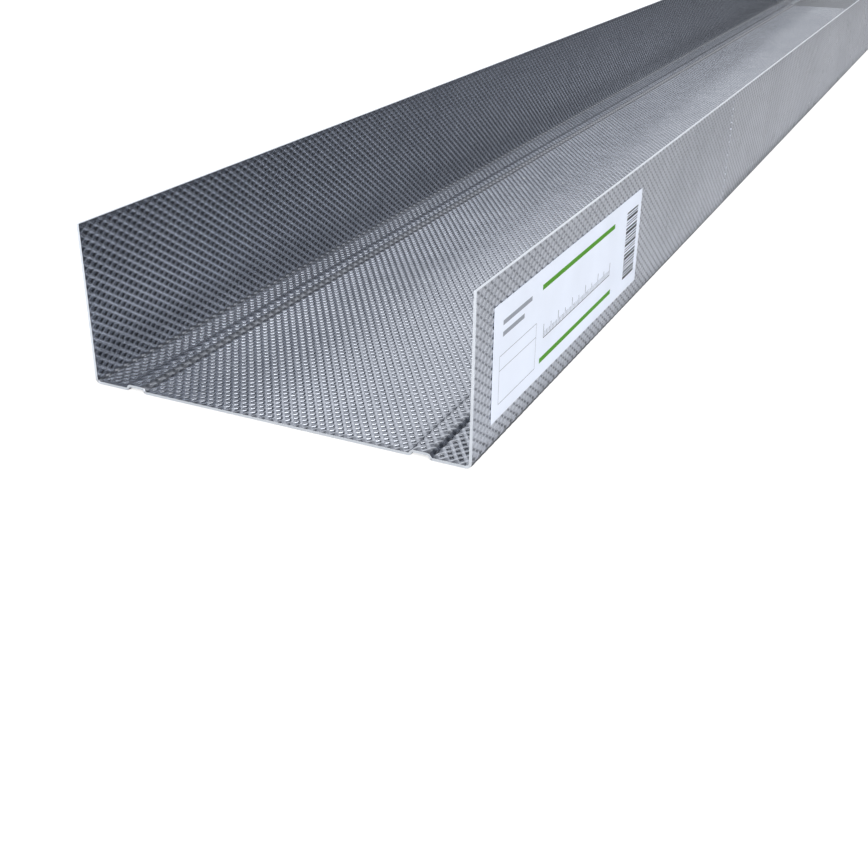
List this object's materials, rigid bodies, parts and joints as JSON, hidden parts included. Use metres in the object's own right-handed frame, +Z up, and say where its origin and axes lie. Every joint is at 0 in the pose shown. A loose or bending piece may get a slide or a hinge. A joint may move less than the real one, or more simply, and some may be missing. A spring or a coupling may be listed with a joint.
{
  "type": "drywall track",
  "caption": "Roll-formed steel U channel with two stiffening ribs in its web, for the top and bottom of a stud partition wall.",
  "frame": {"origin": "middle of the underside of the web, half way along the length", "axes": "+Y along the length away from the labelled end, +X across the web towards the labelled flange, +Z up from the web to the flange edges"},
  "size_m": [0.1001, 3, 0.04],
  "materials": {
    "galvanised_steel": "satin",
    "label_paper": "matte"
  },
  "bodies": {
    "root": {"track": "galvanised_steel", "label": "label_paper"}
  },
  "joints": []
}
